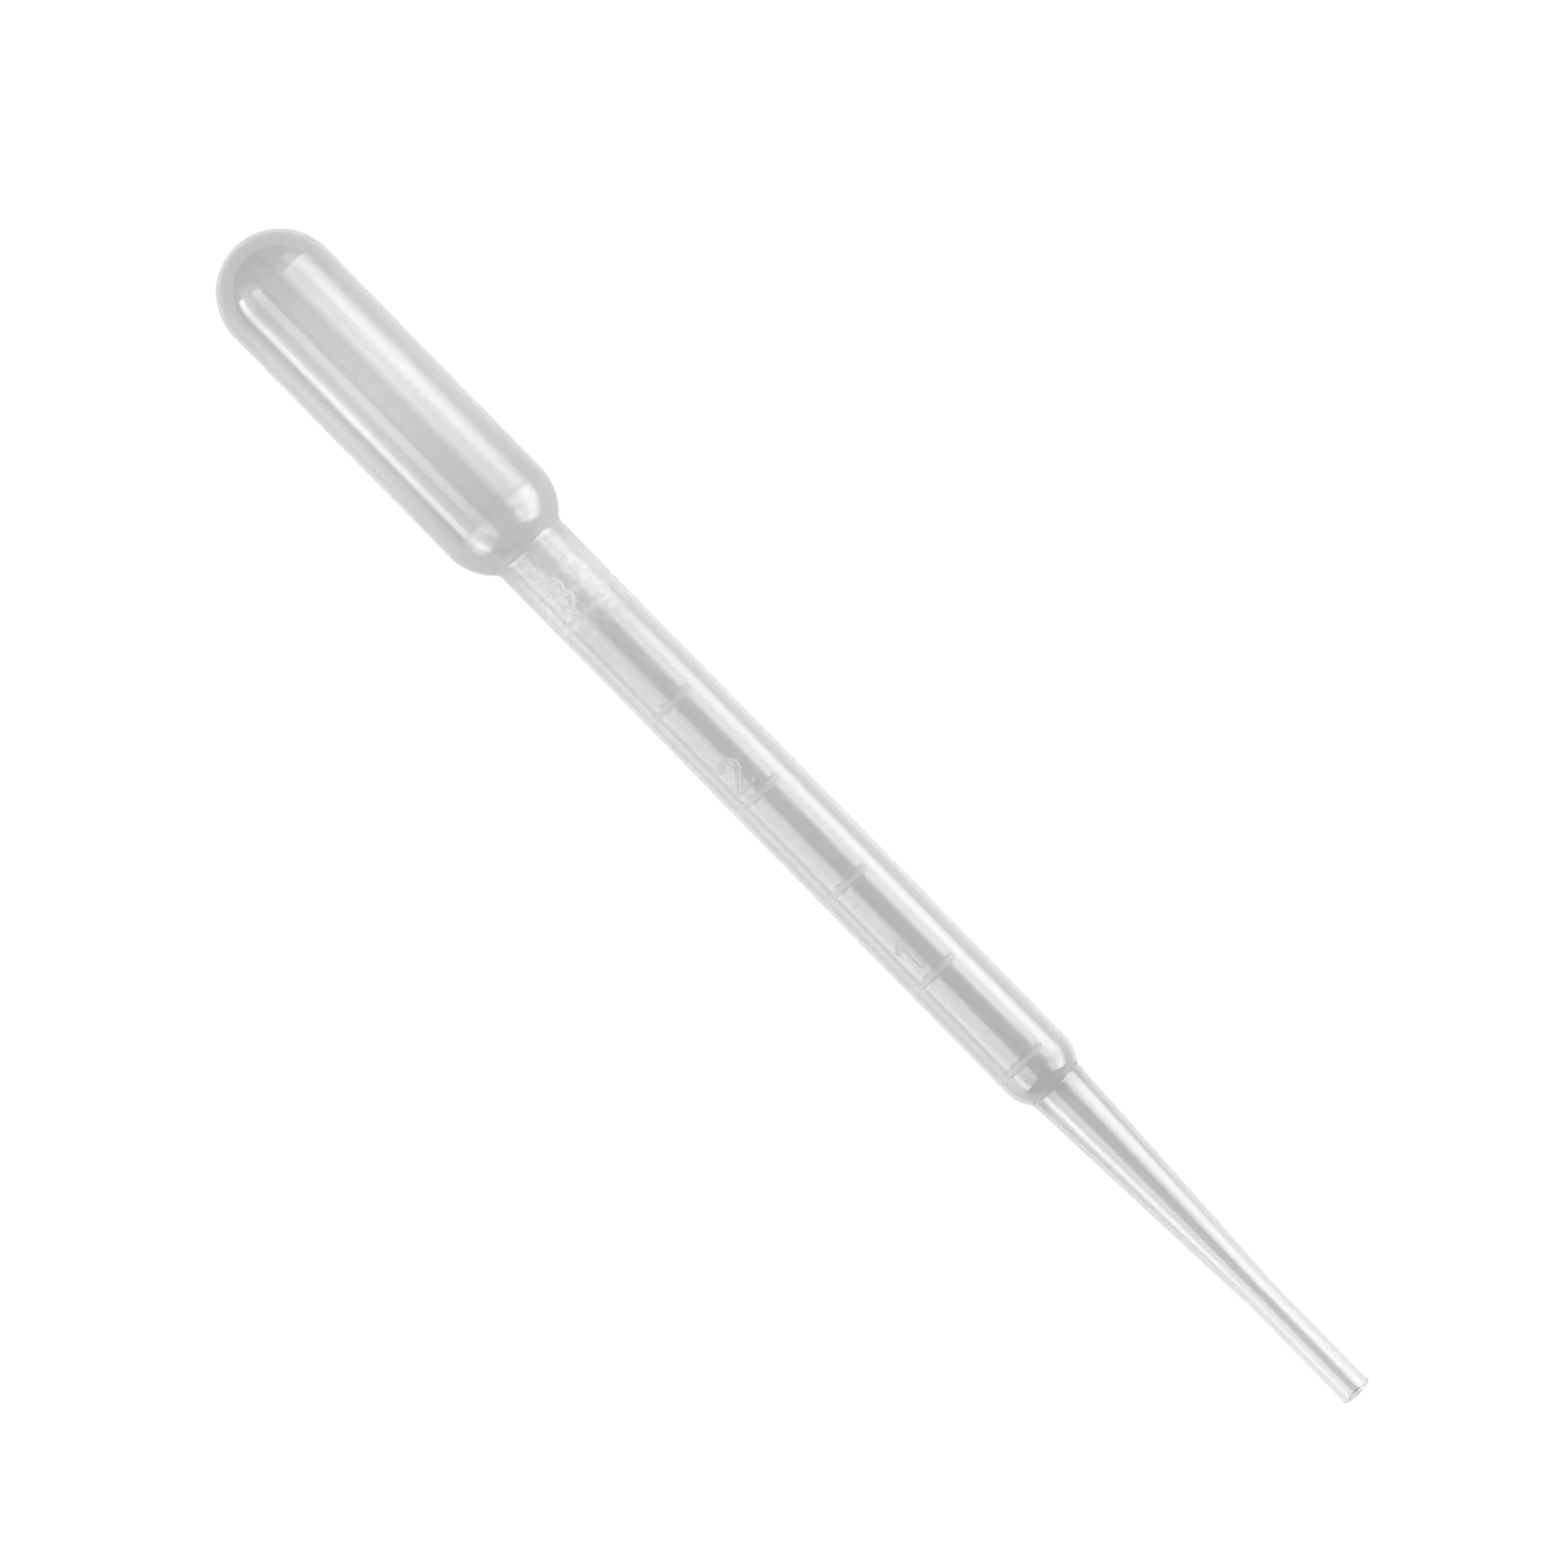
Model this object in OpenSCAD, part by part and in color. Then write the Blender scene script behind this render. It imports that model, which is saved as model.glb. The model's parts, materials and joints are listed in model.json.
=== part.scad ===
// Plastic dropper pipette: a squeeze bulb, a graduated barrel and a drawn tip,
// blow-moulded as one hollow piece. It lies on its bulb's shoulder and on the
// barrel's rounded end, as it does on a bench, with the tip towards +X.
// Sizes are in millimetres.

/* [Bulb] */
// Outside diameter of the squeeze bulb
bulb_d = 12.4; // [11:0.1:16]
// Length of the bulb, from the barrel to the top of its dome
bulb_len = 40.4; // [32:0.2:60]
// Wall of the bulb
bulb_wall = 0.35; // [0.25:0.05:0.8]
// Radius in the corner where the barrel leaves the bulb
neck_round = 1; // [0.4:0.1:2]

/* [Barrel] */
// Outside diameter of the barrel
barrel_d = 8; // [7:0.1:9.5]
// Length of the barrel, from the tip to the bulb
barrel_len = 72.6; // [55:0.2:90]
// Wall of the barrel
barrel_wall = 0.37; // [0.3:0.01:0.8]

/* [Tip] */
// Outside diameter where the tip leaves the barrel's rounded end
tip_base_d = 6; // [4.5:0.1:6.5]
// Length of the tapered stretch
taper_len = 28.4; // [20:0.2:40]
// Outside diameter of the straight end
tip_end_d = 3.3; // [2.8:0.1:4.2]
// Length of the straight end
tip_end_len = 13.6; // [5:0.2:25]
// Wall of the tip
tip_wall = 0.53; // [0.4:0.01:0.8]
// Radius in the corner where the tip leaves the barrel
root_round = 0.6; // [0.3:0.1:1.2]
// Radius on the outer edge of the mouth
mouth_round = 0.25; // [0.1:0.05:0.35]

/* [Scale] */
// Volume between two marks, in millilitres
mark_volume = 0.5; // [0.25, 0.5, 1]
// Width of a raised mark, along the barrel
mark_w = 0.8; // [0.5:0.1:1.2]
// Height of the marks and the figures above the barrel
relief = 0.2; // [0.1:0.05:0.3]
// Angle that a mark covers round the barrel
mark_arc = 90; // [50:5:140]
// Height of the figures
figure_h = 3.8; // [3:0.1:4.5]
// Width of the figures' strokes
stroke = 0.55; // [0.4:0.05:0.8]
// Gap between a mark and the figure above it
figure_gap = 0.6; // [0.4:0.1:1]

/* [Rest] */
// Angle that the pipette is rolled through from where its scale faces straight up
roll = -17.5; // [-90:0.5:90]

/* [Hidden] */
$fn = 96;

// Cuts and joined shapes run past each other by this much.
over = 1;

// Radii outside and inside, from the sizes above
bulb_r = bulb_d / 2;
barrel_r = barrel_d / 2;
base_r = tip_base_d / 2;
tip_r = tip_end_d / 2;
bulb_bore = bulb_r - bulb_wall;
barrel_bore = barrel_r - barrel_wall;
base_bore = base_r - tip_wall;
tip_bore = tip_r - tip_wall;

// Heights along the pipette's own axis, from the mouth up to the bulb
base_h = tip_end_len + taper_len;
barrel_ball_h = base_h + sqrt(pow(barrel_r, 2) - pow(base_r, 2));
barrel_top_h = base_h + barrel_len;
bulb_ball_h = barrel_top_h + sqrt(pow(bulb_r, 2) - pow(barrel_r, 2));
dome_h = barrel_top_h + bulb_len - bulb_r;

// The scale: each mark stands where the inside, filled from the mouth, holds its volume.
function cone_volume(r1, r2, h) = PI * h * (r1 * r1 + r1 * r2 + r2 * r2) / 3;
function zone_volume(r, h) = PI * (r * r * h - pow(h, 3) / 3);
zone_h = sqrt(pow(barrel_bore, 2) - pow(base_bore, 2));
volume_below = cone_volume(tip_bore, tip_bore, tip_end_len)
    + cone_volume(tip_bore, base_bore, barrel_ball_h - zone_h - tip_end_len)
    + zone_volume(barrel_bore, zone_h);
mark_mm3 = mark_volume * 1000;
barrel_area = PI * pow(barrel_bore, 2);
function mark_h(n) = barrel_ball_h + (n * mark_mm3 - volume_below) / barrel_area;
function mark_number(h) = (volume_below + (h - barrel_ball_h) * barrel_area) / mark_mm3;
first_mark = ceil(mark_number(barrel_ball_h + mark_w / 2));
last_mark = floor(mark_number(barrel_top_h - mark_w));
// Whole millilitres carry a figure.
function has_figure(n) = n * mark_volume == round(n * mark_volume) && n * mark_volume <= 5;

// Figures are built from bows and bars, and two bows one above the other fill their height.
bow_overlap = 0.1 * stroke;
bow_r = (figure_h - stroke) / 4 + bow_overlap;

// The relief starts inside the wall, halfway through it.
relief_root = barrel_r - barrel_wall / 2;
relief_r = barrel_r + relief;

// Rest: the bulb's shoulder and the barrel's rounded end both touch the bench.
tilt = asin((bulb_r - barrel_r) / (bulb_ball_h - barrel_ball_h));
rest_x_low = -dome_h * cos(tilt) - bulb_r;
rest_x_high = (tip_r - mouth_round) * sin(tilt) + mouth_round * (1 - cos(tilt));
rest_z = barrel_r - barrel_ball_h * sin(tilt);

// Fills the corner between a ball on the axis and the line through p that leaves it
// downwards, where lean is the line's angle to the axis, with an arc that touches both.
module corner_fill(ball_h, ball_r, p, lean, fill_r) {
    along = [sin(lean), cos(lean)];
    outwards = [cos(lean), -sin(lean)];
    beside = p + fill_r * outwards - [0, ball_h];
    drop = beside * along + sqrt(pow(beside * along, 2) - beside * beside + pow(ball_r + fill_r, 2));
    centre = beside - drop * along;
    on_line = centre - fill_r * outwards;
    on_ball = centre * ball_r / (ball_r + fill_r);
    translate([0, ball_h]) difference() {
        polygon([[0, on_line.y], on_line, centre, on_ball, [0, on_ball.y]]);
        translate(centre) circle(r = fill_r);
    }
}

// Half outline on the axis for one set of radii, so that the inside follows the outside
module outline(tip, base, barrel, bulb, root, neck) {
    slope = (base - tip) / taper_len;
    intersection() {
        translate([0, -over]) square([bulb + over, dome_h + bulb + 2 * over]);
        union() {
            square([tip, tip_end_len]);
            polygon([
                [0, tip_end_len],
                [tip, tip_end_len],
                [base + slope * (barrel_ball_h - base_h), barrel_ball_h],
                [0, barrel_ball_h],
            ]);
            translate([0, barrel_ball_h]) circle(r = barrel);
            translate([0, barrel_ball_h]) square([barrel, bulb_ball_h - barrel_ball_h]);
            translate([0, bulb_ball_h]) circle(r = bulb);
            translate([0, bulb_ball_h]) square([bulb, dome_h - bulb_ball_h]);
            translate([0, dome_h]) circle(r = bulb);
            corner_fill(barrel_ball_h, barrel, [base, base_h], atan(slope), root);
            corner_fill(bulb_ball_h, bulb, [barrel, barrel_top_h], 0, neck);
        }
    }
}

module mouth_edge() {
    translate([tip_r - mouth_round, -over]) difference() {
        square([mouth_round + over, over + mouth_round]);
        translate([0, over + mouth_round]) circle(r = mouth_round);
    }
}

module shell() {
    rotate_extrude() difference() {
        outline(tip_r, base_r, barrel_r, bulb_r, root_round, neck_round);
        outline(
            tip_bore, base_bore, barrel_bore, bulb_bore,
            root_round + tip_wall, neck_round + barrel_wall
        );
        translate([0, -over]) square([tip_bore, 2 * over]);
        mouth_edge();
    }
}

// A raised line part of the way round the barrel's front, -Y, with sloping flanks
module mark() {
    rotate([0, 0, -90 - mark_arc / 2]) rotate_extrude(angle = mark_arc) polygon([
        [relief_root, -mark_w / 2],
        [barrel_r, -mark_w / 2],
        [relief_r, relief - mark_w / 2],
        [relief_r, mark_w / 2 - relief],
        [barrel_r, mark_w / 2],
        [relief_root, mark_w / 2],
    ]);
}

// Strokes of the figures: part of a ring, and a straight bar from one point to another
module bow(x, y, from, sweep) {
    translate([x, y, 0]) rotate([0, 0, from]) rotate_extrude(angle = sweep)
        translate([bow_r - stroke / 2, 0]) square([stroke, barrel_r]);
}

module bar(a, b) {
    along = b - a;
    translate([a.x, a.y, 0]) rotate([0, 0, atan2(along.y, along.x)])
        translate([0, -stroke / 2, 0]) cube([norm(along), stroke, barrel_r]);
}

module one() {
    bar([0, 0], [0, figure_h]);
    bar([0, figure_h - stroke], [-bow_r, figure_h - stroke - 0.8 * bow_r]);
}

module two() {
    bow_y = figure_h - stroke / 2 - bow_r;
    bow(0, bow_y, -40, 200);
    bar([-bow_r, stroke / 2], [bow_r * cos(40), bow_y - bow_r * sin(40)]);
    bar([-bow_r - stroke / 2, stroke / 2], [bow_r + stroke / 2, stroke / 2]);
}

module three() {
    bow(0, stroke / 2 + bow_r, -150, 240);
    bow(0, figure_h - stroke / 2 - bow_r, -90, 240);
}

module four() {
    stem_x = bow_r / 2;
    bar_y = figure_h / 3;
    bar([stem_x, 0], [stem_x, figure_h]);
    bar([-bow_r - stroke / 2, bar_y], [bow_r + stroke / 2, bar_y]);
    bar([-bow_r, bar_y], [stem_x, figure_h - stroke / 2]);
}

module five() {
    bow(0, stroke / 2 + bow_r, -150, 260);
    bar([stroke / 2 - bow_r, 2 * bow_r], [stroke / 2 - bow_r, figure_h]);
    bar([-bow_r, figure_h - stroke / 2], [bow_r, figure_h - stroke / 2]);
}

// A figure on the barrel, upright when the bulb is at the top, cut to its low relief
module figure(n) {
    intersection() {
        rotate([90, 0, 0]) translate([0, 0, relief_root]) {
            if (n == 1) one();
            if (n == 2) two();
            if (n == 3) three();
            if (n == 4) four();
            if (n == 5) five();
        }
        translate([0, 0, -over]) cylinder(r = relief_r, h = figure_h + 2 * over);
    }
}

module scale_marks() {
    for (n = [first_mark : last_mark]) {
        translate([0, 0, mark_h(n)]) {
            mark();
            if (has_figure(n)) translate([0, 0, mark_w / 2 + figure_gap]) figure(n * mark_volume);
        }
    }
}

module pipette() {
    color([0.93, 0.94, 0.94, 0.6])
        translate([-(rest_x_low + rest_x_high) / 2, 0, rest_z])
            rotate([0, tilt - 90, 0]) rotate([0, 0, 90 + roll]) {
                // The line where the shell's own turn starts and closes faces the bench.
                rotate([0, 0, 90 - roll]) shell();
                scale_marks();
            }
}

pipette();
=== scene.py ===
# Plastic dropper pipette: one hollow moulding of natural polyethylene, lying on a pale floor.
# Lengths in the dictionaries are in millimetres and angles in degrees.
import json
import math

import bpy
from mathutils import Matrix, Vector


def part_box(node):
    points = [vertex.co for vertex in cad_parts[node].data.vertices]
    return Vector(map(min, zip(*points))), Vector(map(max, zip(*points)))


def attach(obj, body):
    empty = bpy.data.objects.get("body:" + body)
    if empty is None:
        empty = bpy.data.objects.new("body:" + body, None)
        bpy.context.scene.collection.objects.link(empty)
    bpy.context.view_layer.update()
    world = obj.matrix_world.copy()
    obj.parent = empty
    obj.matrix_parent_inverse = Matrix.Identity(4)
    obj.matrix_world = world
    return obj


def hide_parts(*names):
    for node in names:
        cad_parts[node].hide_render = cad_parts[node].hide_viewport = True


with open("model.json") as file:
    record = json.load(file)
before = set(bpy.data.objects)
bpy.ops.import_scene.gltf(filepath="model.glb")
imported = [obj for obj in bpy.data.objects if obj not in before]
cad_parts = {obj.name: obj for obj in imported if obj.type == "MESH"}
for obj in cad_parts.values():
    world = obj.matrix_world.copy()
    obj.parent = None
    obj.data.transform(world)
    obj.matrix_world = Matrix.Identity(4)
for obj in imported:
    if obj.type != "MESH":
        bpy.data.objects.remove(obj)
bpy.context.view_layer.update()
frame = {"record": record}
mm = 0.001

pipette = {
    "bulbR": 6.2, "bulbLength": 40.4, "bulbWall": 0.35,
    "barrelR": 4.0, "barrelLength": 72.6, "barrelWall": 0.37,
    "tipBaseR": 3.0, "taperLength": 28.4, "tipEndR": 1.65, "tipEndLength": 13.6,
    "tipWall": 0.53, "rootWall": 0.4,       # at the straight end, and where the tip leaves the barrel
    "neckRound": 1.0, "rootRound": 0.6, "mouthRound": 0.25,
    "roll": -17.5,             # from where the scale would face straight up
    "arcStep": 3.5,            # turn between two points of a round
    "longStep": 5.0,           # between two rings where nothing changes
    "shortStep": 0.12,         # beside a round or a corner
    "scaleSector": 104,        # the part of the turn that carries the scale
    "scaleSteps": 84, "backSteps": 92,
    "weld": 0.002,             # vertices closer than this become one
    "smoothUnder": 40,         # faces that meet at less than this are shaded smooth
}


def cornerRound(ballHeight, ballR, point, lean, roundR):
    # the arc in the corner between a ball on the axis and the line that leaves it downwards
    along = Vector((math.sin(lean), math.cos(lean)))
    outwards = Vector((math.cos(lean), -math.sin(lean)))
    beside = Vector(point) + roundR * outwards - Vector((0, ballHeight))
    reach = beside.dot(along)
    drop = reach + math.sqrt(reach ** 2 - beside.dot(beside) + (ballR + roundR) ** 2)
    centre = beside - drop * along
    lift = Vector((0, ballHeight))
    return {
        "centre": centre + lift,
        "onLine": centre - roundR * outwards + lift,
        "onBall": centre * ballR / (ballR + roundR) + lift,
    }


def wallOutline(inset, barrelStops):
    # one side of the wall from the tip up to the dome, 0 for the outside and 1 for the inside:
    # the end of each stretch, and the centre of those that are round
    p = pipette
    tip = p["tipEndR"] - p["tipWall"] * inset
    base = p["tipBaseR"] - p["rootWall"] * inset
    barrel = p["barrelR"] - p["barrelWall"] * inset
    bulb = p["bulbR"] - p["bulbWall"] * inset
    baseHeight = p["tipEndLength"] + p["taperLength"]
    barrelBall = baseHeight + math.sqrt(p["barrelR"] ** 2 - p["tipBaseR"] ** 2)
    barrelTop = baseHeight + p["barrelLength"]
    bulbBall = barrelTop + math.sqrt(p["bulbR"] ** 2 - p["barrelR"] ** 2)
    dome = barrelTop + p["bulbLength"] - p["bulbR"]
    lean = math.atan((base - tip) / p["taperLength"])
    root = cornerRound(barrelBall, barrel, (base, baseHeight), lean, p["rootRound"] + p["rootWall"] * inset)
    neck = cornerRound(bulbBall, bulb, (barrel, barrelTop), 0, p["neckRound"] + p["barrelWall"] * inset)
    return [
        ((tip, p["tipEndLength"]), None),
        (root["onLine"], None),
        (root["onBall"], root["centre"]),
        ((barrel, barrelBall), (0, barrelBall)),
        *[((barrel, stop), None) for stop in barrelStops],
        (neck["onLine"], None),
        (neck["onBall"], neck["centre"]),
        ((bulb, bulbBall), (0, bulbBall)),
        ((bulb, dome), None),
        ((0, dome + bulb), (0, dome)),
    ]


def turnBetween(centre, start, end):
    a = Vector(start) - Vector(centre)
    b = Vector(end) - Vector(centre)
    return math.atan2(a.x * b.y - a.y * b.x, a.dot(b))


def straightPoints(start, end):
    # a short step at each end keeps the rounds' shading off the straight stretch
    length = (end - start).length
    short = pipette["shortStep"]
    if length < 4 * short:
        return [end]
    between = length - 2 * short
    steps = max(1, round(between / pipette["longStep"]))
    along = [short + between * i / steps for i in range(steps + 1)] + [length]
    return [start.lerp(end, d / length) for d in along]


def drawPath(start, path):
    # extrudes the one selected vertex along straight stretches and spins it round arcs
    here = Vector(start)
    for end, centre in path:
        if centre is None:
            for point in straightPoints(here, Vector(end)):
                step = (point - here) * mm
                bpy.ops.mesh.extrude_vertices_move(TRANSFORM_OT_translate={"value": (step.x, 0, step.y)})
                here = point
        else:
            turn = turnBetween(centre, here, end)
            steps = max(2, math.ceil(abs(math.degrees(turn)) / pipette["arcStep"]))
            about = (centre[0] * mm, 0, centre[1] * mm)
            bpy.ops.mesh.spin(steps=steps, angle=turn, center=about, axis=(0, 1, 0))
            here = Vector(end)


scaleMarks = {
    "firstMark": 45.977, "spacing": 12.0785, "count": 6,   # above the mouth, half a millilitre apart
    "markWidth": 1.1, "markArc": 90,
    "figureHeight": 3.8, "stroke": 0.65,
    "gap": 0.45,               # between a mark and its figure
    "bowOverlap": 0.1,         # of two bows one above the other, as a share of the stroke
    "flagDrop": 0.8,           # of the flag on the 1, as a share of a bow's radius
    "bowSteps": 24,
    "relief": 0.14,
    "slope": 0.45, "strokeSlope": 0.32,     # how far in from its edge a mark or a stroke still rises
    "ringStep": 0.1,
}


def markHeights():
    return [scaleMarks["firstMark"] + n * scaleMarks["spacing"] for n in range(scaleMarks["count"])]


def figureFoot(mark):
    return mark + scaleMarks["markWidth"] / 2 + scaleMarks["gap"]


def hasFigure(n):
    # the marks stand for half millilitres, and each whole one has its figure
    return n % 2 == 1


def bowPoints(height, r, start, sweep):
    steps = scaleMarks["bowSteps"]
    turns = [math.radians(start + sweep * n / steps) for n in range(steps + 1)]
    return [(r * math.cos(t), height + r * math.sin(t)) for t in turns]


def figureStrokes():
    # centre lines of the strokes of 1, 2 and 3, each figure standing on its foot at 0:
    # a bow goes from its first angle through its turn
    s = scaleMarks
    foot, top = s["stroke"] / 2, s["figureHeight"] - s["stroke"] / 2
    bow = (s["figureHeight"] - s["stroke"]) / 4 + s["bowOverlap"] * s["stroke"]
    one = [[(0, foot), (0, top), (-bow, top - s["flagDrop"] * bow)]]
    two = [bowPoints(top - bow, bow, 160, -200) + [(-bow, foot), (bow, foot)]]
    three = [bowPoints(foot + bow, bow, -150, 240), bowPoints(top - bow, bow, -90, 240)]
    return [one, two, three]


def barrelRings():
    # heights where the outside of the barrel needs its rings close together
    s = scaleMarks
    spans = []
    for n, mark in enumerate(markHeights()):
        spans.append((mark - s["markWidth"] / 2, mark + s["markWidth"] / 2))
        if hasFigure(n):
            spans.append((figureFoot(mark), figureFoot(mark) + s["figureHeight"]))
    rings = []
    for low, high in spans:
        count = round((high - low) / s["ringStep"])
        rings += [low + (high - low) * i / count for i in range(-1, count + 2)]
    return rings


def strokeDistance(point, lines):
    nearest = math.inf
    for line in lines:
        for a, b in zip(line, line[1:]):
            a, b = Vector(a), Vector(b)
            along = b - a
            t = min(1, max(0, (point - a).dot(along) / along.length_squared))
            nearest = min(nearest, (point - a - t * along).length)
    return nearest


def proud(inside, slope):
    # 0 at the edge of a mark or stroke and up to 1 on its top
    t = min(1, max(0, inside / slope))
    return t * t * (3 - 2 * t)


def raisedShare(turn, height, strokes):
    # how far the barrel stands proud at a turn from the scale's middle and a height above the mouth
    s = scaleMarks
    barrelR = pipette["barrelR"]
    toEnds = barrelR * (math.radians(s["markArc"] / 2) - abs(turn))
    across = barrelR * math.sin(turn)
    share = 0
    for n, mark in enumerate(markHeights()):
        share = max(share, proud(min(s["markWidth"] / 2 - abs(height - mark), toEnds), s["slope"]))
        up = height - figureFoot(mark)
        nearFigure = 0 < up < s["figureHeight"] and abs(across) < s["figureHeight"] / 2
        if hasFigure(n) and nearFigure:
            inside = s["stroke"] / 2 - strokeDistance(Vector((across, up)), strokes[n // 2])
            share = max(share, proud(inside, s["strokeSlope"]))
    return share


def paintScale(body, middle):
    # the scale's relief as weights for the modifier, and as an attribute for the material
    group = body.vertex_groups.new(name="scale")
    shares = [0.0] * len(body.data.vertices)
    strokes = figureStrokes()
    skin = 0.01
    for v in body.data.vertices:
        turn = math.atan2(v.co.y, v.co.x) - middle
        turn = (turn + math.pi) % (2 * math.pi) - math.pi
        onBarrel = abs(math.hypot(v.co.x, v.co.y) / mm - pipette["barrelR"]) < skin
        if onBarrel and abs(turn) < math.radians(pipette["scaleSector"] / 2):
            shares[v.index] = raisedShare(turn, v.co.z / mm, strokes)
            if shares[v.index]:
                group.add([v.index], shares[v.index], "REPLACE")
    body.data.attributes.new("raised", "FLOAT", "POINT")
    body.data.attributes["raised"].data.foreach_set("value", shares)


def selectOnly(obj):
    bpy.ops.object.select_all(action="DESELECT")
    obj.select_set(True)
    bpy.context.view_layer.objects.active = obj


def makeBody():
    p = pipette
    inside = wallOutline(1, [])
    outside = wallOutline(0, barrelRings())
    bore = p["tipEndR"] - p["tipWall"]
    edge = p["tipEndR"] - p["mouthRound"]
    mouth = [((edge, 0), None), ((p["tipEndR"], p["mouthRound"]), (edge, p["mouthRound"]))]
    # a plane drawn together to one vertex, on the mouth's inner edge
    bpy.ops.object.select_all(action="DESELECT")
    bpy.ops.mesh.primitive_plane_add(size=mm, location=(0, 0, 0))
    body = bpy.context.object
    body.name = "pipetteBody"
    bpy.ops.object.mode_set(mode="EDIT")
    bpy.ops.mesh.select_all(action="SELECT")
    bpy.ops.mesh.merge(type="CENTER")
    bpy.ops.transform.translate(value=(bore * mm, 0, 0))
    # the outside from there up to the dome, then the inside from the same vertex
    drawPath((bore, 0), mouth + outside)
    bpy.ops.mesh.select_all(action="DESELECT")
    bpy.ops.object.mode_set(mode="OBJECT")
    body.data.vertices[0].select = True
    bpy.ops.object.mode_set(mode="EDIT")
    drawPath((bore, 0), inside)
    # once round: close steps where the scale is, wider ones behind
    sector = math.radians(p["scaleSector"])
    bpy.ops.mesh.select_all(action="SELECT")
    bpy.ops.mesh.spin(steps=p["scaleSteps"], angle=sector, center=(0, 0, 0), axis=(0, 0, 1))
    bpy.ops.mesh.spin(steps=p["backSteps"], angle=2 * math.pi - sector, center=(0, 0, 0), axis=(0, 0, 1))
    bpy.ops.mesh.select_all(action="SELECT")
    bpy.ops.mesh.remove_doubles(threshold=p["weld"] * mm)
    bpy.ops.mesh.normals_make_consistent(inside=False)
    bpy.ops.object.mode_set(mode="OBJECT")
    # the scale rises out of the barrel's own skin
    selectOnly(body)
    paintScale(body, -sector / 2)
    relief = body.modifiers.new("raisedScale", "DISPLACE")
    relief.vertex_group = "scale"
    relief.strength = scaleMarks["relief"] * mm
    relief.mid_level = 0
    bpy.ops.object.modifier_apply(modifier=relief.name)
    bpy.ops.object.shade_smooth_by_angle(angle=math.radians(p["smoothUnder"]))
    return body


def mouthPlace():
    # where the record has the mouth, and the way out of it
    mouth = next(m for m in frame["record"]["mounts"] if m["name"] == "mouth")
    return Vector(mouth["pos_m"]), Vector(mouth["axis"])


def layDown(body):
    # the mouth goes to its place, and the scale's middle is rolled from straight up
    place, axis = mouthPlace()
    lean = math.asin(-axis.z) - math.pi / 2
    middle = math.radians(pipette["scaleSector"] / 2 + pipette["roll"])
    turn = Matrix.Rotation(lean, 4, "Y") @ Matrix.Rotation(middle, 4, "Z")
    body.matrix_world = Matrix.Translation(place) @ turn
    selectOnly(body)
    bpy.ops.object.transform_apply(location=True, rotation=True, scale=True)


def markSides(body):
    # from -1 along the side towards -Y to 1 along the other, for the material's painted light and shade
    start, axis = mouthPlace()
    sides = []
    nearAxis = 0.01 * mm
    for v in body.data.vertices:
        out = v.co - start
        out -= out.dot(axis) * axis
        sides.append(out.y / max(out.length, nearAxis))
    body.data.attributes.new("side", "FLOAT", "POINT")
    body.data.attributes["side"].data.foreach_set("value", sides)


class Nodes:
    # a node tree, with short ways to add nodes and to set or join their sockets
    def __init__(self, tree):
        self.tree = tree
        tree.nodes.clear()

    def add(self, kind, inputs=None, **settings):
        node = self.tree.nodes.new(kind)
        for name, value in settings.items():
            setattr(node, name, value)
        for socket, value in (inputs or {}).items():
            if isinstance(value, bpy.types.NodeSocket):
                self.tree.links.new(value, node.inputs[socket])
            else:
                node.inputs[socket].default_value = value
        return node

    def math(self, operation, a, b):
        return self.add("ShaderNodeMath", {0: a, 1: b}, operation=operation).outputs[0]


def greyRamp(n, source, stops):
    # a ramp through stops of a position from 0 to 1 and its grey
    ramp = n.add("ShaderNodeValToRGB", {"Fac": source})
    elements = ramp.color_ramp.elements
    for i, (position, grey) in enumerate(stops):
        stop = elements[i] if i < 2 else elements.new(position)
        stop.position = position
        stop.color = (grey, grey, grey, 1)
    return ramp.outputs["Color"]


def rampOver(n, source, stops, unit=mm):
    # a ramp over the source's own values, which are in metres unless another unit is given
    low, high = stops[0][0], stops[-1][0]
    span = n.add("ShaderNodeMapRange", {"Value": source, "From Min": low * unit, "From Max": high * unit})
    return greyRamp(n, span.outputs["Result"], [((x - low) / (high - low), grey) for x, grey in stops])


def noiseAlong(n, place, size, drawn, detail):
    # noise whose grains are size across and drawn times as long as that along the pipette
    scale = (1 / (drawn * size * mm), 1 / (size * mm), 1 / (size * mm))
    stretch = n.add("ShaderNodeMapping", {"Vector": place, "Scale": scale})
    grains = {"Vector": stretch.outputs["Vector"], "Scale": 1, "Detail": detail}
    return n.add("ShaderNodeTexNoise", grains).outputs["Fac"]


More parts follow.
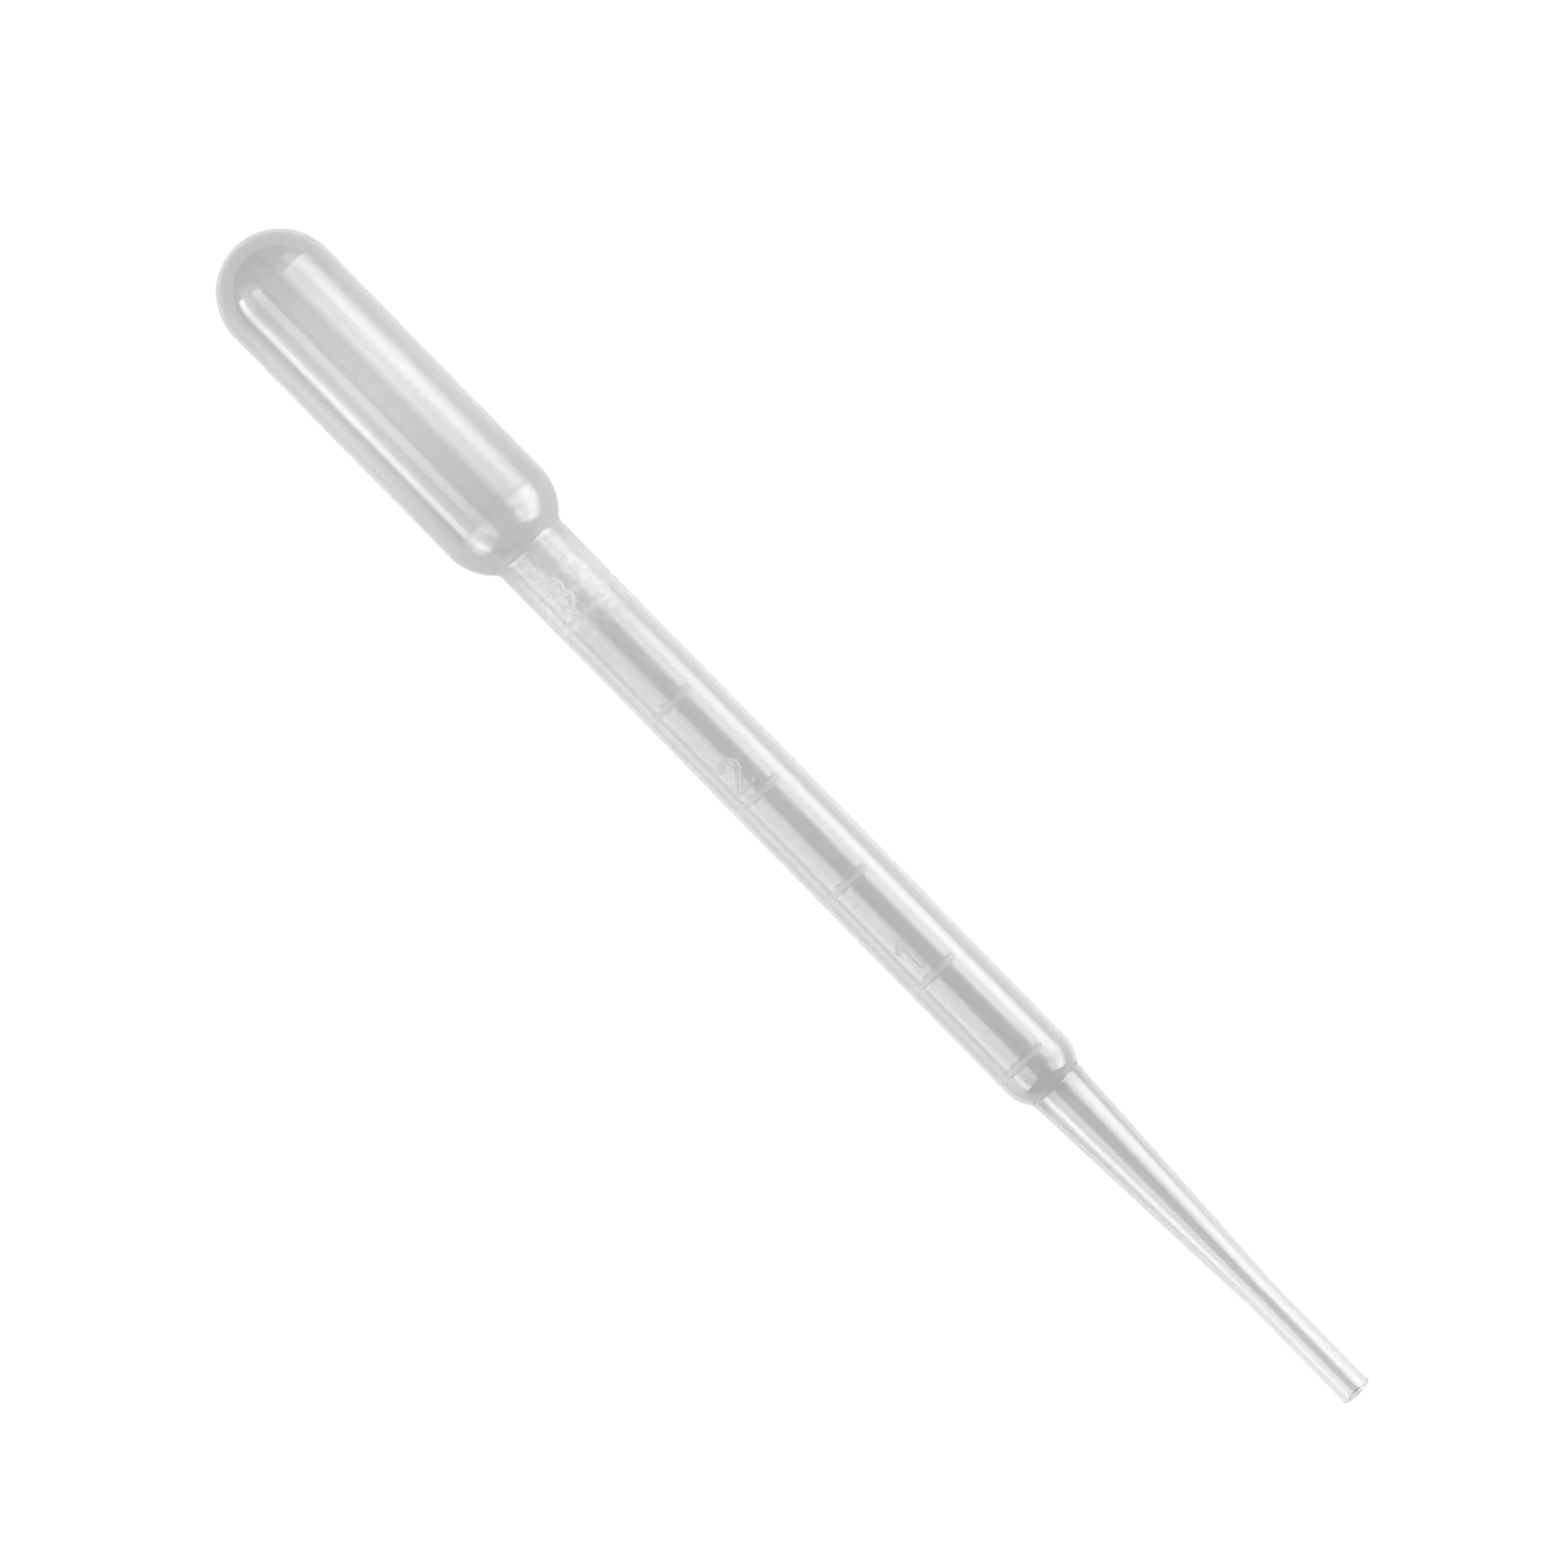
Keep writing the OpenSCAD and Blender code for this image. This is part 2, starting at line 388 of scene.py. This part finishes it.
plastic = {
    "clear": 0.93, "ior": 1.51,
    "shadow": 0.93,            # what each wall lets through to the floor
    # roughness by x in mm, and on top of the marks and figures, which are matt
    "rough": [(-77, 0.05), (-43, 0.05), (-39, 0.17), (-30, 0.13), (-26, 0.05), (77, 0.05)],
    "markRough": 0.5,
    "markMilkAndLight": 0.10,          # how far a raised mark turns from the wall's tint to white: the thicker plastic's milkiness and painted light that the ridges catch
    # how much one wall lets through, by x: the plastic's tint with painted shade for the dim surroundings
    # seen through it, darker still at the dome, the shoulder and the barrel's end cap
    "tintAndShade": [(-77, 0.69), (-72, 0.70), (-68, 0.74), (-58, 0.76), (-42, 0.685), (-38, 0.68),
             (-35, 0.72), (-31, 0.73), (-26, 0.66), (-8, 0.65), (8, 0.64), (28, 0.63), (32, 0.62),
             (34.5, 0.60), (36, 0.60), (37.5, 0.65), (50, 0.665), (77, 0.70)],
    # faint clouds in the tint: how far they lighten and darken it by x, their size in mm,
    # and how far they are drawn out along the pipette
    "cloud": [(-77, 0.07), (-39, 0.07), (-36, 0.25), (-29, 0.25), (-25, 0.07), (77, 0.07)],
    "cloudSize": 0.5, "cloudDrawn": 1.5, "cloudDetail": 2,
    # painted light and shade: bright and dark lines along the walls, set by side, as what the tint is
    # multiplied by, by place across the pipette from -1 (towards -Y) to 1, and their share by x
    "paintedLightAndShade": {
        "bulb": {
            "across": [(-1, 0.85), (-0.92, 0.965), (-0.84, 1.02), (-0.76, 0.90), (-0.69, 0.95),
                       (-0.61, 1.0), (-0.53, 1.03), (-0.46, 0.95), (-0.38, 0.95), (-0.3, 0.98),
                       (-0.23, 0.99), (-0.15, 0.965), (-0.08, 1.0), (0.08, 0.99), (0.15, 0.97),
                       (0.23, 0.98), (0.3, 0.99), (0.61, 0.985), (0.69, 0.99), (0.76, 0.94),
                       (0.84, 0.91), (0.92, 0.955), (1, 0.88)],
            "along": [(-77, 0.5), (-70, 1.0), (-57, 1.0), (-51, 0.5), (-42, 0.6), (-37, 0.0), (77, 0.0)],
        },
        "barrel": {
            "across": [(-1, 1.10), (-0.91, 1.04), (-0.8, 1.28), (-0.68, 0.97), (-0.55, 0.99), (0.0, 1.0),
                       (0.5, 1.02), (0.7, 1.05), (0.8, 1.08), (0.9, 1.11), (1, 1.15)],
            "along": [(-77, 0.0), (-37, 0.0), (-33, 0.5), (-25, 1.0), (33, 1.0), (36, 0.0), (77, 0.0)],
        },
        "tip": {
            "across": [(-1, 1.0), (-0.87, 1.07), (-0.65, 1.06), (-0.5, 1.0), (-0.25, 0.985), (0, 0.965),
                       (0.2, 0.94), (0.4, 1.02), (0.65, 1.06), (0.87, 0.98), (1, 1.0)],
            "along": [(-77, 0.0), (34, 0.0), (38, 1.0), (77, 1.0)],
        },
    },
    # size of each surface texture in mm, how far it is drawn out along the pipette, its height in mm,
    # and its share of that by x
    "textures": {
        "drawLines": {"size": 0.7, "drawn": 30, "detail": 2, "height": 0.0003,
                      "share": [(-77, 1.0), (30, 1.0), (37, 0.0), (77, 0.0)]},
        "peel": {"size": 3.5, "drawn": 1.6, "detail": 1, "height": 0.001,
                 "share": [(-77, 1.0), (30, 1.0), (37, 0.0), (77, 0.0)]},
        "frosting": {"size": 0.8, "drawn": 1.3, "detail": 1, "height": 0.018,
                     "share": [(-77, 0.0), (-38, 0.0), (-36, 1.0), (-29, 1.0), (-25, 0.0), (77, 0.0)]},
    },
}


def makePlastic():
    p = plastic
    material = bpy.data.materials.new("naturalPolyethylene")
    material.use_nodes = True
    n = Nodes(material.node_tree)
    place = n.add("ShaderNodeTexCoord").outputs["Object"]
    along = n.add("ShaderNodeSeparateXYZ", {0: place}).outputs["X"]
    side = n.add("ShaderNodeAttribute", attribute_name="side").outputs["Fac"]
    raised = n.add("ShaderNodeAttribute", attribute_name="raised").outputs["Fac"]
    # the tint by place along the pipette with painted shade in it, its clouds, the painted lines of light
    # and shade, and on the scale milkier plastic with painted light
    clouds = noiseAlong(n, place, p["cloudSize"], p["cloudDrawn"], p["cloudDetail"])
    clouds = n.math("SUBTRACT", n.math("MULTIPLY", clouds, 2), 1)
    clouds = n.math("MULTIPLY", clouds, rampOver(n, along, p["cloud"]))
    tintAndShade = n.math("MULTIPLY", rampOver(n, along, p["tintAndShade"]), n.math("ADD", clouds, 1))
    # each band of painted light and shade multiplies the tint by side and by x
    for paintedBand in p["paintedLightAndShade"].values():
        change = n.math("SUBTRACT", rampOver(n, side, paintedBand["across"], 1), 1)
        change = n.math("MULTIPLY", change, rampOver(n, along, paintedBand["along"]))
        tintAndShade = n.math("MULTIPLY", tintAndShade, n.math("ADD", change, 1))
    milkAndLight = n.math("MULTIPLY", raised, p["markMilkAndLight"])
    colour = n.add("ShaderNodeMix", {"Factor": milkAndLight, "A": tintAndShade, "B": 1}).outputs["Result"]
    bare = rampOver(n, along, p["rough"])
    matt = n.add("ShaderNodeMapRange", {"Value": raised, "To Min": bare, "To Max": p["markRough"]})
    height = 0
    for t in p["textures"].values():
        grain = n.math("MULTIPLY", noiseAlong(n, place, t["size"], t["drawn"], t["detail"]), t["height"])
        height = n.math("ADD", n.math("MULTIPLY", grain, rampOver(n, along, t["share"])), height)
    bump = n.add("ShaderNodeBump", {"Distance": mm, "Height": height})
    skin = n.add("ShaderNodeBsdfPrincipled", {
        "Base Color": colour,
        "Roughness": matt.outputs["Result"],
        "IOR": p["ior"],
        "Transmission Weight": p["clear"],
        "Normal": bump.outputs["Normal"],
    })
    # light for the floor passes straight through
    through = n.add("ShaderNodeBsdfTransparent", {"Color": (p["shadow"],) * 3 + (1,)})
    forFloor = n.add("ShaderNodeLightPath").outputs["Is Shadow Ray"]
    either = n.add("ShaderNodeMixShader", {0: forFloor, 1: skin.outputs[0], 2: through.outputs[0]})
    n.add("ShaderNodeOutputMaterial", {"Surface": either.outputs[0]})
    return material


studio = {
    "floorWidth": 6000,
    "floorGrey": 0.2,          # what of the floor's white takes the light and the shadow
    "floorWhite": 1.05,
    "farFloor": {"from": 150, "to": 1200, "more": 0.2},    # the white added far out, in sight only
    "horizon": 0.15, "overhead": 0.06,      # how brightly the sky lights the pipette
    "rise": 0.3,               # how far up, from 0 to 1, the sky is at its overhead level
    "distance": 340,           # from the pipette's axis to the softboxes
    "axisHeight": 6,           # of that axis above the floor
    # brightness across each softbox, by angle from straight above towards +Y, and its share by x
    "softboxes": {
        "key": {
            "across": [(20, 0.0), (27, 0.9), (35, 2.4), (45, 2.3), (55, 2.7), (64, 3.6), (75, 3.6),
                       (87, 2.0), (95, 0.2)],
            "along": [(-182, 0.92), (-47, 0.92), (-41, 0.8), (-35, 0.6), (-28, 0.6), (-21, 1.1), (-8, 1.3),
                      (5, 1.4), (60, 1.6), (76, 0.0), (134, 0.0), (150, 1.4), (420, 1.7)],
        },
        "edge": {
            "across": [(-94, 0.0), (-79, 0.1), (-75, 3.2), (-67, 3.2), (-62, 0.2), (-43, 0.1), (-38, 1.4),
                       (-25, 1.4), (-20, 0.0)],
            "along": [(-275, 1.7), (-190, 1.5), (-115, 1.2), (-100, 1.0), (-70, 1.05), (-50, 1.1),
                      (-38, 0.15), (0, 0.2), (60, 0.4), (75, 1.2), (240, 1.1)],
        },
        "tipKey": {
            "across": [(20, 0.0), (29, 0.3), (38, 1.9), (52, 2.7), (66, 3.2), (84, 3.2), (97, 2.0),
                       (100, 0.0)],
            "along": [(60, 0.0), (76, 1.55), (105, 1.45), (134, 1.35), (150, 0.0)],
        },
        "tipFill": {
            "across": [(-105, 2.2), (-84, 2.6), (-60, 1.9), (-38, 0.75), (-19, 0.3), (-3, 0.0)],
            "along": [(60, 0.0), (76, 1.1), (240, 1.0)],
        },
        "fill": {
            "across": [(-90, 0.3), (-75, 1.0), (-40, 1.0), (-22, 0.4), (-15, 0.0)],
            "along": [(-52, 0.0), (-42, 0.7), (-30, 0.8), (-18, 2.1), (60, 2.3), (76, 0.0)],
        },
    },
}


def makeFloor():
    bpy.ops.object.select_all(action="DESELECT")
    bpy.ops.mesh.primitive_plane_add(size=studio["floorWidth"] * mm, location=(0, 0, 0))
    floor = bpy.context.object
    floor.name = "floor"
    material = bpy.data.materials.new("paleFloor")
    material.use_nodes = True
    n = Nodes(material.node_tree)
    grey = studio["floorGrey"]
    matt = n.add("ShaderNodeBsdfDiffuse", {"Color": (grey, grey, grey, 1)})
    # the rest of its white is for the rays that see or mirror it, not for those that it lights
    rays = n.add("ShaderNodeLightPath").outputs
    seen = n.math("MAXIMUM", rays["Is Camera Ray"], rays["Is Transmission Ray"])
    seen = n.math("MAXIMUM", seen, rays["Is Glossy Ray"])
    near = n.math("MULTIPLY", seen, studio["floorWhite"] - grey)
    # the softboxes don't reach far out, so the floor glows a little more there
    place = n.add("ShaderNodeTexCoord").outputs["Object"]
    apart = n.add("ShaderNodeVectorMath", {0: place}, operation="LENGTH").outputs["Value"]
    outer = studio["farFloor"]
    reach = {"From Min": outer["from"] * mm, "From Max": outer["to"] * mm, "To Max": outer["more"]}
    far = n.add("ShaderNodeMapRange", {"Value": apart, **reach}).outputs["Result"]
    level = n.math("ADD", near, n.math("MULTIPLY", far, rays["Is Camera Ray"]))
    glow = n.add("ShaderNodeEmission", {"Strength": level})
    both = n.add("ShaderNodeAddShader", {0: matt.outputs[0], 1: glow.outputs[0]})
    n.add("ShaderNodeOutputMaterial", {"Surface": both.outputs[0]})
    floor.data.materials.append(material)


def makeSky():
    # white where it is seen, and dim where it lights the pipette or is mirrored in it
    world = bpy.data.worlds.new("studio")
    bpy.context.scene.world = world
    world.use_nodes = True
    n = Nodes(world.node_tree)
    place = n.add("ShaderNodeTexCoord").outputs["Generated"]
    up = n.add("ShaderNodeSeparateXYZ", {0: place}).outputs["Z"]
    levels = {"From Max": studio["rise"], "To Min": studio["horizon"], "To Max": studio["overhead"]}
    level = n.add("ShaderNodeMapRange", {"Value": up, **levels}).outputs["Result"]
    dim = n.add("ShaderNodeBackground", {"Strength": level})
    white = n.add("ShaderNodeBackground")
    rays = n.add("ShaderNodeLightPath").outputs
    seen = n.math("MAXIMUM", rays["Is Camera Ray"], rays["Is Transmission Ray"])
    either = n.add("ShaderNodeMixShader", {0: seen, 1: dim.outputs[0], 2: white.outputs[0]})
    n.add("ShaderNodeOutputWorld", {"Surface": either.outputs[0]})


def shareRamp(n, source, stops):
    # a ramp scaled to 1 at its brightest, and that brightest level
    top = max(level for _, level in stops)
    return greyRamp(n, source, [(position, level / top) for position, level in stops]), top


def makeSoftbox(name, across, along):
    # a flat lamp that faces the pipette's axis, with its brightness set by angle and by x
    first, last = across[0][0], across[-1][0]
    start, end = along[0][0], along[-1][0]
    middle = math.radians((first + last) / 2)
    edge = math.tan(math.radians(last - first) / 2)
    reach = studio["distance"] * mm
    outwards = Vector((0, math.sin(middle), math.cos(middle)))
    sideways = Vector((0, math.cos(middle), -math.sin(middle)))
    axis = Vector(((start + end) / 2, 0, studio["axisHeight"])) * mm
    bpy.ops.object.light_add(type="AREA", location=axis + outwards * reach)
    lamp = bpy.context.object
    lamp.name = name
    lamp.rotation_euler = Matrix((sideways, (-1, 0, 0), outwards)).transposed().to_euler()
    lamp.visible_camera = False
    lamp.data.shape = "RECTANGLE"
    lamp.data.size, lamp.data.size_y = 2 * reach * edge, (end - start) * mm
    lamp.data.energy = math.pi * lamp.data.size * lamp.data.size_y
    lamp.data.use_nodes = True
    n = Nodes(lamp.data.node_tree)
    where = n.add("ShaderNodeNewGeometry").outputs["Parametric"]
    place = n.add("ShaderNodeSeparateXYZ", {0: where}).outputs
    angles = [((math.tan(math.radians(a) - middle) / edge + 1) / 2, level) for a, level in across]
    lengths = [((end - x) / (end - start), share) for x, share in reversed(along)]
    acrossColour, acrossTop = shareRamp(n, place["X"], angles)
    alongColour, alongTop = shareRamp(n, place["Y"], lengths)
    # sockets 6 and 7 are a colour mix's A and B
    colours = {"Factor": 1, 6: acrossColour, 7: alongColour}
    both = n.add("ShaderNodeMix", colours, data_type="RGBA", blend_type="MULTIPLY")
    light = n.add("ShaderNodeEmission", {"Color": both.outputs[2], "Strength": acrossTop * alongTop})
    n.add("ShaderNodeOutputLight", {"Surface": light.outputs[0]})


view = {
    "lens": 150, "sensor": 36, "distance": 631,
    "turn": 45.6,              # of the picture against the pipette's length
    "right": -1.4, "up": 3.65, # from the pipette's middle to the picture's
    "height": 5,               # of the level that the distance is measured from
}


def makeCamera():
    turn = math.radians(view["turn"])
    right = Vector((math.cos(turn), math.sin(turn), 0))
    up = Vector((-math.sin(turn), math.cos(turn), 0))
    low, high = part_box("pipette")
    place = (low + high) / 2 + (right * view["right"] + up * view["up"]) * mm
    place.z = (view["height"] + view["distance"]) * mm
    bpy.ops.object.camera_add(location=place, rotation=(0, 0, turn))
    camera = bpy.context.object
    camera.data.lens = view["lens"]
    camera.data.sensor_width = view["sensor"]
    bpy.context.scene.camera = camera


print("studio")
makeCamera()
makeFloor()
makeSky()
for name, profiles in studio["softboxes"].items():
    makeSoftbox(name, profiles["across"], profiles["along"])

print("pipette body")
body = makeBody()
layDown(body)
markSides(body)
print("triangles", sum(len(f.vertices) - 2 for f in body.data.polygons))

print("natural polyethylene")
body.data.materials.clear()
body.data.materials.append(makePlastic())
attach(body, "root")
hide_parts("pipette")

bpy.context.scene.view_settings.view_transform = "Standard"
